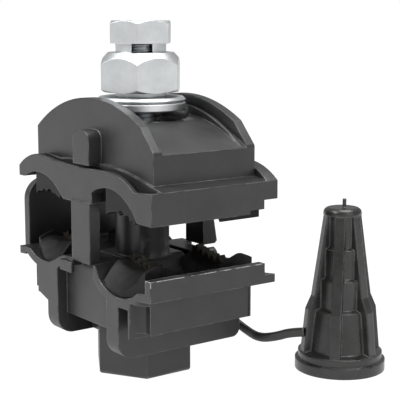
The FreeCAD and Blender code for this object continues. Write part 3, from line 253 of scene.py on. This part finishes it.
# Lower moulding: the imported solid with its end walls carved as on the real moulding
lowerShell = {
    "front": -0.0166, "rear": 0.0138, "tapSeat": (-0.0168, 0.0370, 0.01485), "seatOverlap": 0.0003,
    "rib": {"near": 0.0106, "far": 0.0152, "inside": 0.0131, "foot": 0.0076, "top": 0.0232,
            "frontRound": 0.004, "rearRound": 0.002},
    "pod": {"web": 0.01975, "side": 0.0243, "inside": 0.0130, "foot": 0.0146, "edge": 0.0153},
    "slot": {"near": 0.01935, "far": 0.0239, "front": -0.0164, "rear": -0.0098, "top": 0.0202},
    "cove": {"sideFront": -0.0145, "bulge": 0.0021, "foot": 0.0130, "top": 0.0213},
    "gap": {"boss": 0.0086, "foot": 0.0070, "bossTop": 0.0245, "ribTop": 0.02345, "from": 0.01401,
            "lowTop": 0.0125, "lowFrom": 0.0071},
    "tapFoot": ((-0.0152, 0.0120), (-0.0250, 0.0120), (-0.0250, 0.0163), (-0.0190, 0.0161),
                (-0.0152, 0.0149)),
    "tapCorner": {"near": -0.0199, "far": -0.0256, "foot": 0.0146},
    "nose": {"end": -0.0019, "far": 0.0040, "front": -0.0190, "rear": -0.01705,
             "foot": 0.0236, "top": 0.0268},
    "beyond": 0.0250, "outside": 0.0172,
}


def rectangle(left, right, low, high):
    return [(left, low), (right, low), (right, high), (left, high)]


def prism(profile, low, high, axis):
    # a closed profile, rows of two coordinates, carried straight from low to high along the third axis
    profile = np.asarray(profile, float)
    ends = [np.insert(profile, axis, level, axis=1) for level in (low, high)]
    return gridMesh("carver", np.stack(ends), smooth=False, closed=True)


def seatLine(seat, near, far, steps=16):
    # underside of the mouth band: height = seat's axis - sqrt(radius^2 - (across - axis)^2)
    across = np.linspace(near, far, steps)
    return np.stack([across, seat[1] - np.sqrt(seat[2] ** 2 - (across - seat[0]) ** 2)], 1)


def coveLine(side, steps=12):
    # plan of the scooped corner: straight line from web to side wall, pushed inwards by a half sine
    s = np.linspace(0, 1, steps)
    start = np.array([lowerShell["pod"]["web"], lowerShell["front"]])
    end = np.array([lowerShell["pod"]["side"], lowerShell["cove"]["sideFront"]])
    inward = np.array([start[1] - end[1], end[0] - start[0]])
    inward /= np.linalg.norm(inward)
    push = np.sin(math.pi * s) * lowerShell["cove"]["bulge"]
    return (start + s[:, None] * (end - start) + push[:, None] * inward) * [side, 1]


def carve(target, tools):
    # joins or cuts each tool in turn and keeps the outcome as the target's mesh
    for operation, tool in tools:
        step = target.modifiers.new("carve", "BOOLEAN")
        step.operation, step.object, step.solver = operation, tool, "EXACT"
        shown = target.evaluated_get(bpy.context.evaluated_depsgraph_get())
        outcome = bpy.data.meshes.new_from_object(shown)
        target.modifiers.clear()
        old, target.data = target.data, outcome
        bpy.data.meshes.remove(old)
        spent = tool.data
        bpy.data.objects.remove(tool)
        bpy.data.meshes.remove(spent)


def mergedCopy(nodeName, name, press=None):
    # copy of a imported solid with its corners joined; press lowers what is above a foot to a share of it
    work = bmesh.new()
    work.from_mesh(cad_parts[nodeName].data)
    bmesh.ops.remove_doubles(work, verts=work.verts, dist=1e-7)
    if press:
        for corner in work.verts:
            corner.co.z -= max(corner.co.z - press["foot"], 0) * (1 - press["share"])
    bmesh.ops.recalc_face_normals(work, faces=work.faces)
    mesh = bpy.data.meshes.new(name)
    work.to_mesh(mesh)
    work.free()
    made = bpy.data.objects.new(name, mesh)
    scene.collection.objects.link(made)
    return made


def standIn(made, nodeName, body, slotName):
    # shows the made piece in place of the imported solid, on the same body and in the same slot
    made.data.materials.clear()
    made.data.materials.append(finishes[slotName])
    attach(made, body)
    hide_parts(nodeName)


def ribSide():
    # side view of the tap rib: rounded feet, front radius and rear radius, by quarter circles
    rib, front = lowerShell["rib"], lowerShell["front"]
    frontTurn, rearTurn = np.linspace(0, math.pi / 2, 8), np.linspace(0, math.pi / 2, 6)
    frontFoot = np.stack([front + rib["frontRound"] * (1 - np.cos(frontTurn)),
                          rib["foot"] + rib["frontRound"] * (1 - np.sin(frontTurn))], 1)
    rearFoot = np.stack([-front - rib["rearRound"] * (1 - np.sin(rearTurn)),
                         rib["foot"] + rib["rearRound"] * (1 - np.cos(rearTurn))], 1)
    return np.concatenate([frontFoot, rearFoot, [[-front, rib["top"]], [front, rib["top"]]]])


def makeLowerShell():
    own, outside = lowerShell, lowerShell["outside"]
    rib, pod, slot, cove, gap = (own[key] for key in ("rib", "pod", "slot", "cove", "gap"))
    corner, nose = own["tapCorner"], own["nose"]
    shell = mergedCopy("lower_housing", "lowerShell")
    underBand = seatLine(own["tapSeat"], -pod["side"], -pod["inside"]) + [0, own["seatOverlap"]]
    tapPod = np.concatenate([[[-pod["inside"], pod["foot"]], [-pod["web"], pod["edge"]],
                              [-pod["side"], pod["edge"]]], underBand])
    slotFill = rectangle(slot["near"], slot["far"], slot["front"], slot["rear"])
    tools = [("UNION", prism(tapPod, own["front"], own["rear"], 1)),
             ("UNION", prism(ribSide(), -rib["far"], -rib["inside"], 0)),
             ("UNION", prism(slotFill, pod["foot"], slot["top"], 2))]
    # scooped corners, both sides
    for side in (1, -1):
        outer = [[side * own["beyond"], cove["sideFront"]], [side * own["beyond"], -outside],
                 [side * pod["web"], -outside]]
        scoop = np.concatenate([coveLine(side), outer])
        tools.append(("DIFFERENCE", prism(scoop, cove["foot"], cove["top"], 2)))
    # free space between the tap rib and the boss, up to the band and again lower down
    high = [(-rib["near"], gap["foot"]), (-gap["boss"], gap["foot"]), (-gap["boss"], gap["bossTop"]),
            (-rib["near"], gap["ribTop"])]
    low = rectangle(-rib["near"], -gap["boss"], gap["foot"], gap["lowTop"])
    for profile, start in ((high, gap["from"]), (low, gap["lowFrom"])):
        tools.append(("DIFFERENCE", prism(profile, -outside, -start, 1)))
        tools.append(("DIFFERENCE", prism(profile, start, outside, 1)))
    # the tap pod's sloping foot, free space before its side wall up to the band, and the nose cut short
    beforeWall = np.concatenate([[[corner["near"], corner["foot"]], [corner["far"], corner["foot"]]],
                                 seatLine(own["tapSeat"], corner["far"], corner["near"])])
    noseRest = rectangle(nose["end"], nose["far"], nose["front"], nose["rear"])
    tools += [("DIFFERENCE", prism(own["tapFoot"], -outside, outside, 1)),
              ("DIFFERENCE", prism(beforeWall, -outside, cove["sideFront"], 1)),
              ("DIFFERENCE", prism(noseRest, nose["foot"], nose["top"], 2))]
    carve(shell, tools)
    standIn(shell, "lower_housing", "lower", "housing")


makeLowerShell()
print("lower moulding carved")

# Soft saddles in the lower mouths: axis, radius, ends and seat of each channel
saddles = {
    "Main": {"x": 0.0150, "z": 0.0435, "radius": 0.0166, "near": 0.0083, "far": 0.0214, "edge": 0.0223,
             "rim": 0.0289, "seat": (0.0153, 0.0343, 0.01265), "funnel": 0.0046},
    "Tap": {"x": -0.0176, "z": 0.0432, "radius": 0.0152, "near": -0.0100, "far": -0.0222, "edge": -0.0230,
            "rim": 0.0296, "seat": (-0.0168, 0.0370, 0.01295), "funnel": 0.0042},
}
# what all saddles share: rows along the channel as start, end and count, the form of lip, throat and rim,
# and the angle in degrees from which an edge is sharp
saddleForm = {
    "rows": ((0.0052, 0.0068, 6), (0.0072, 0.0098, 14), (0.0104, 0.0163, 18)), "columns": 25,
    "lipFrom": 0.0116, "lipReach": 0.0047, "flare": 1.3, "sideHold": 0.8, "sideShort": 0.12,
    "throatFrom": 0.0106, "throatReach": 0.0054, "throat": 0.0016, "rimDrop": 0.0012, "rimThroat": 0.0020,
    "rimStep": 0.15, "lift": 0.00004, "thinnest": 0.0003, "rimAbove": 0.0001, "sharp": 38,
}


def makeSaddle(channel, front):
    # each row is the saddle's arc, the rim and the way back along the seat's arc; s runs across, near to far:
    # arc radius = radius + funnel * lip^1.3 * (1 - 0.8 s^3) + throat * inner, where lip grows from 0 to 1
    # beyond 11.6 mm and inner from 0 to 1 inside 10.6 mm, so the saddle is highest between them
    own, form = saddles[channel], saddleForm
    along = np.concatenate([np.linspace(*row) for row in form["rows"]])
    count = len(along)
    lip = np.clip((along - form["lipFrom"]) / form["lipReach"], 0, 1)
    inner = np.clip((form["throatFrom"] - along) / form["throatReach"], 0, 1)
    share = np.linspace(0, 1, form["columns"])
    widening = (lip ** form["flare"])[:, None] * (1 - form["sideHold"] * share ** 3)
    radius = own["radius"] + own["funnel"] * widening + (form["throat"] * inner)[:, None]
    across = own["near"] + (own["far"] - own["near"]) * share[None]
    top = own["z"] - np.sqrt(radius ** 2 - (across - own["x"]) ** 2)
    rim = own["rim"] - (form["rimDrop"] * lip + form["rimThroat"] * inner)
    rim = np.maximum(rim, top[:, -1] + form["rimAbove"])
    # the seat's arc lies just above the housing, and the saddle keeps a least thickness over it
    seatX, seatZ, seatRadius = own["seat"]
    seatAcross = own["edge"] + (own["near"] - own["edge"]) * share
    seatTop = seatZ - np.sqrt(seatRadius ** 2 - (seatAcross - seatX) ** 2) + form["lift"]
    order = np.argsort(np.abs(seatAcross))
    below = np.interp(np.abs(across[0]), np.abs(seatAcross)[order], seatTop[order])
    top = np.maximum(top, below + form["thinnest"])
    rim = np.maximum(rim, seatTop[0] + form["thinnest"])
    # at the mouth the far side stops 12 % short of the near one
    short = form["sideShort"] * lip[:, None]
    reach = along[:, None] * (1 - short * share ** 3)
    back = along[:, None] * (1 - short * (1 - share) ** 3)
    y = np.concatenate([reach, reach[:, -1:], reach[:, -1:], back], 1)
    rimAcross = own["far"] + (own["edge"] - own["far"]) * form["rimStep"]
    x = np.concatenate([np.repeat(across, count, 0), np.full((count, 1), rimAcross),
                        np.full((count, 1), own["edge"]), np.repeat(seatAcross[None], count, 0)], 1)
    z = np.concatenate([top, rim[:, None], rim[:, None], np.repeat(seatTop[None], count, 0)], 1)
    end = "front" if front else "rear"
    made = gridMesh("saddle" + channel + end.title(), np.stack([x, -y if front else y, z], 2), closed=True)
    made.data.set_sharp_from_angle(angle=math.radians(form["sharp"]))
    standIn(made, "seal_lower_%s_%s" % (channel.lower(), end), "lower", "seal")


for channelName in saddles:
    for atFront in (True, False):
        makeSaddle(channelName, atFront)
print("saddles made")

# Lower blades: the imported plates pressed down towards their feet, so the teeth just clear the saddles
# height = foot + share * (packed height - foot), above the foot only
pressedBlade = {"foot": 0.0155, "share": 0.91}

for endName in ("front", "rear"):
    standIn(mergedCopy("blade_lower_" + endName, "pressedBlade" + endName.title(), pressedBlade),
            "blade_lower_" + endName, "lower", "blade")
print("lower blades made")

# Upper moulding: the front post ends under the flange, flush with it
upperShell = {
    "flange": -0.0166, "lip": 0.0405, "postTop": 0.0462, "postNear": -0.0034, "postFar": 0.0053,
    "postSide": 0.00452, "postFoot": 0.0262, "postInner": -0.01415, "before": -0.0174, "seam": 0.0001,
}
# Ragged mouths of the upper front seals: nicks as x, z and radius, and the outline of the open part
raggedMouths = {
    "seal_upper_main_front": {
        "nicks": ((0.0118, 0.0386, 0.0009), (0.0139, 0.0391, 0.0009), (0.0163, 0.0397, 0.0010),
                  (0.0187, 0.0392, 0.0008), (0.0207, 0.0383, 0.0009)),
        "open": ((0.0048, 0.0372), (0.0103, 0.0372), (0.0106, 0.0452), (0.0048, 0.0452))},
    "seal_upper_tap_front": {
        "nicks": ((-0.0187, 0.0396, 0.0011), (-0.0163, 0.0403, 0.0010), (-0.0139, 0.0405, 0.0011),
                  (-0.0116, 0.0399, 0.0010)),
        "open": None},
}
# where the cuts begin and end along the channel, and the form of a nick
nickForm = {"before": -0.0170, "nickTo": -0.0146, "openTo": -0.0118, "corners": 12, "flat": 0.8}


def makeUpperShell():
    own = upperShell
    shell = mergedCopy("upper_housing", "upperShell")
    top = rectangle(own["postNear"], own["postFar"], own["lip"], own["postTop"])
    side = rectangle(own["postSide"], own["postFar"], own["postFoot"], own["lip"] - own["seam"])
    carve(shell, [("DIFFERENCE", prism(top, own["before"], own["flange"], 1)),
                  ("DIFFERENCE", prism(side, own["before"], own["postInner"], 1))])
    standIn(shell, "upper_housing", "upper", "housing")


def makeRaggedMouth(nodeName, look):
    # each nick is a slightly flattened circle: x + r cos, z + 0.8 r sin
    made = mergedCopy(nodeName, "ragged" + nodeName.split("_")[2].title())
    turn = np.linspace(0, 2 * math.pi, nickForm["corners"], endpoint=False)
    tools = []
    for x, z, radius in look["nicks"]:
        circle = np.stack([x + radius * np.cos(turn), z + nickForm["flat"] * radius * np.sin(turn)], 1)
        tools.append(("DIFFERENCE", prism(circle, nickForm["before"], nickForm["nickTo"], 1)))
    if look["open"]:
        tools.append(("DIFFERENCE", prism(look["open"], nickForm["before"], nickForm["openTo"], 1)))
    carve(made, tools)
    standIn(made, nodeName, "upper", "seal")


makeUpperShell()
for nodeName, look in raggedMouths.items():
    makeRaggedMouth(nodeName, look)
print("upper moulding and mouths carved")

# Tether strap: a flat cord from the core's rear to the end cap
strap = {
    "route": [(0.0, 0.0138, 0.013), (0.001, 0.0184, 0.0114), (0.0052, 0.0218, 0.0089),
              (0.0104, 0.0225, 0.0068), (0.0154, 0.0224, 0.006), (0.02, 0.0236, 0.0072),
              (0.023, 0.0254, 0.0086), (0.0255, 0.0274, 0.0089)],
    "wide": 0.0021, "thick": 0.001, "length": 0.0331, "corners": 28, "square": 0.45,
}


def splineLine(route):
    # the smooth line that a NURBS curve of order 3 draws between its control points
    curve = bpy.data.curves.new("line", "CURVE")
    curve.dimensions = "3D"
    curve.resolution_u = 12
    spline = curve.splines.new("NURBS")
    spline.points.add(len(route) - 1)
    for point, spot in zip(spline.points, route):
        point.co = (*spot, 1)
    spline.order_u = 3
    spline.use_endpoint_u = True
    holder = bpy.data.objects.new("line", curve)
    scene.collection.objects.link(holder)
    line = bpy.data.meshes.new_from_object(holder)
    spots = np.empty(len(line.vertices) * 3)
    line.vertices.foreach_get("co", spots)
    bpy.data.objects.remove(holder)
    bpy.data.meshes.remove(line)
    return spots.reshape(-1, 3)


def makeStrap():
    # a rounded flat section carried along the line: centre + across * thick/2 * cos^e
    # + rise * wide/2 * sin^e, with the exponent e below 1, which squares the ellipse
    line = splineLine(strap["route"])
    ahead = np.gradient(line, axis=0)
    ahead /= np.linalg.norm(ahead, axis=1)[:, None]
    across = np.cross([0.0, 0.0, 1.0], ahead)
    across /= np.linalg.norm(across, axis=1)[:, None]
    rise = np.cross(ahead, across)
    angle = np.linspace(0, 2 * math.pi, strap["corners"], endpoint=False)
    side = np.sign(np.cos(angle)) * np.abs(np.cos(angle)) ** strap["square"] * strap["thick"] / 2
    lift = np.sign(np.sin(angle)) * np.abs(np.sin(angle)) ** strap["square"] * strap["wide"] / 2
    rings = line[:, None] + across[:, None] * side[None, :, None] + rise[:, None] * lift[None, :, None]
    ends = [np.repeat(line[k][None, None], strap["corners"], 1) for k in (0, -1)]
    made = gridMesh("tetherStrap", np.concatenate([ends[0], rings, ends[1]]))
    standIn(made, "cap_strap", "lower", "soft_plastic")


makeStrap()
print("strap made")

# Bolt with its thread, in place of the plain shank
bolt = {
    "radius": 0.00398, "root": 0.00335, "pitch": 0.00125, "tip": 0.0783, "lead": 0.0009, "headFoot": 0.0020,
    "headTop": 0.0073, "flats": 0.013, "threadFoot": 0.030, "steps": 48, "stepsPerTurn": 10,
    "footRadius": 0.0063, "footRound": 0.0006, "fade": 0.002, "waveGain": 1.25, "waveDrop": 0.1,
}


def makeBolt():
    # radius(angle, height) = crest - depth * |triangle wave of (height/pitch - angle/turn)|, with the wave
    # cut flat at crest and root, above a hexagonal head
    angle = np.linspace(0, 2 * math.pi, bolt["steps"], endpoint=False)
    threadRows = int((bolt["tip"] - bolt["threadFoot"]) / bolt["pitch"] * bolt["stepsPerTurn"])
    high = np.linspace(bolt["threadFoot"], bolt["tip"], threadRows)
    turn = (high[:, None] / bolt["pitch"] - angle[None] / (2 * math.pi)) % 1.0
    wave = np.clip(np.abs(turn - 0.5) * 2 * bolt["waveGain"] - bolt["waveDrop"], 0, 1)
    fade = np.clip((high - bolt["threadFoot"]) / bolt["fade"], 0, 1)[:, None]
    radius = bolt["radius"] - (bolt["radius"] - bolt["root"]) * wave * fade
    radius = np.minimum(radius, (bolt["radius"] - bolt["lead"] + bolt["tip"] - high)[:, None])
    around = np.stack([np.cos(angle), np.sin(angle)], 1)
    level = np.repeat(high[:, None, None], bolt["steps"], 1)
    thread = np.concatenate([radius[:, :, None] * around[None], level], 2)
    side = bolt["flats"] / 2 / np.cos((angle % (math.pi / 3)) - math.pi / 6)
    rings = []
    footSide = np.minimum(side, bolt["footRadius"])
    for ring, level in ((0 * side, bolt["headFoot"]), (footSide, bolt["headFoot"]),
                        (side, bolt["headFoot"] + bolt["footRound"]), (side, bolt["headTop"]),
                        (0 * side + bolt["radius"], bolt["headTop"])):
        rings.append(np.concatenate([ring[:, None] * around, np.full((bolt["steps"], 1), level)], 1)[None])
    close = np.concatenate([0 * around, np.full((bolt["steps"], 1), bolt["tip"])], 1)[None]
    made = gridMesh("threadedBolt", np.concatenate(rings + [thread, close]), smooth=False)
    standIn(made, "bolt", "lower", "bolt_steel")


makeBolt()
print("bolt made")

# Floor and studio light: each lamp as place, width, height and power
studio = {
    "paper": (0.62, 0.62, 0.62, 1), "palePaper": (0.65, 0.65, 0.65, 1), "glow": 0.88, "glowStrength": 1.12,
    "floorHalf": 3.0, "sky": 0.34, "target": (0, 0, 0.04),
    "lamps": {"keyLight": ((-0.20, -0.54, 0.60), 0.5, 0.5, 5.8),
              "fillLight": ((0.65, 0.00, 0.30), 0.5, 0.4, 0.9),
              "topLight": ((0.10, 0.15, 0.75), 0.5, 0.5, 5.0)},
}


def seenRays(finish):
    # 1 for what the camera, a reflection or glass sees, 0 for light that falls on the object
    camera, glossy, transmitted = (finish.node("ShaderNodeLightPath", out=ray) for ray in (
        "Is Camera Ray", "Is Glossy Ray", "Is Transmission Ray"))
    return finish.clamp(camera + glossy + transmitted)


def makeFloor():
    # pale paper that glows where it is looked at, so that it stays white and still keeps the object's shadow
    half = studio["floorHalf"]
    mesh = bpy.data.meshes.new("floor")
    corners = [(-half, -half, 0), (half, -half, 0), (half, half, 0), (-half, half, 0)]
    mesh.from_pydata(corners, [], [(0, 1, 2, 3)])
    floor = bpy.data.objects.new("floor", mesh)
    scene.collection.objects.link(floor)
    paper = Finish("floorPaper", {"Roughness": 0.9, "Specular IOR Level": 0.1})
    cloud = paper.noise(0.4, 2)
    paper.wire("Base Color", paper.between(paper.ramp(cloud, 0.2, 0.8), studio["paper"], studio["palePaper"]))
    lit = Signal(paper, paper.shader.outputs[0])
    glow = paper.node("ShaderNodeEmission", None, {"Color": (1, 1, 1, 1), "Strength": studio["glowStrength"]})
    mixed = paper.node("ShaderNodeMixShader", None, {0: seenRays(paper) * studio["glow"], 1: lit, 2: glow})
    paper.tree.links.new(mixed.socket, paper.tree.nodes["Material Output"].inputs["Surface"])
    mesh.materials.append(paper.material)


def makeLight(name, place, width, height, power):
    lamp = bpy.data.lights.new(name, "AREA")
    lamp.shape, lamp.size, lamp.size_y, lamp.energy = "RECTANGLE", width, height, power
    holder = bpy.data.objects.new(name, lamp)
    scene.collection.objects.link(holder)
    holder.location = place
    holder.rotation_euler = (Vector(studio["target"]) - Vector(place)).to_track_quat("-Z", "Y").to_euler()


makeFloor()
for lampName, lampLook in studio["lamps"].items():
    makeLight(lampName, *lampLook)
world = bpy.data.worlds.new("studio")
scene.world = world
world.use_nodes = True
sky = world.node_tree
background = sky.nodes["Background"]
rays = sky.nodes.new("ShaderNodeLightPath")
seen = sky.nodes.new("ShaderNodeMath")
seen.operation = "MAXIMUM"
sky.links.new(rays.outputs["Is Camera Ray"], seen.inputs[0])
sky.links.new(rays.outputs["Is Transmission Ray"], seen.inputs[1])
level = sky.nodes.new("ShaderNodeMapRange")
level.inputs["To Min"].default_value, level.inputs["To Max"].default_value = studio["sky"], 1.0
sky.links.new(seen.outputs[0], level.inputs["Value"])
sky.links.new(level.outputs[0], background.inputs["Strength"])
background.inputs["Color"].default_value = (1, 1, 1, 1)
scene.view_settings.view_transform = "Standard"
print("studio made")
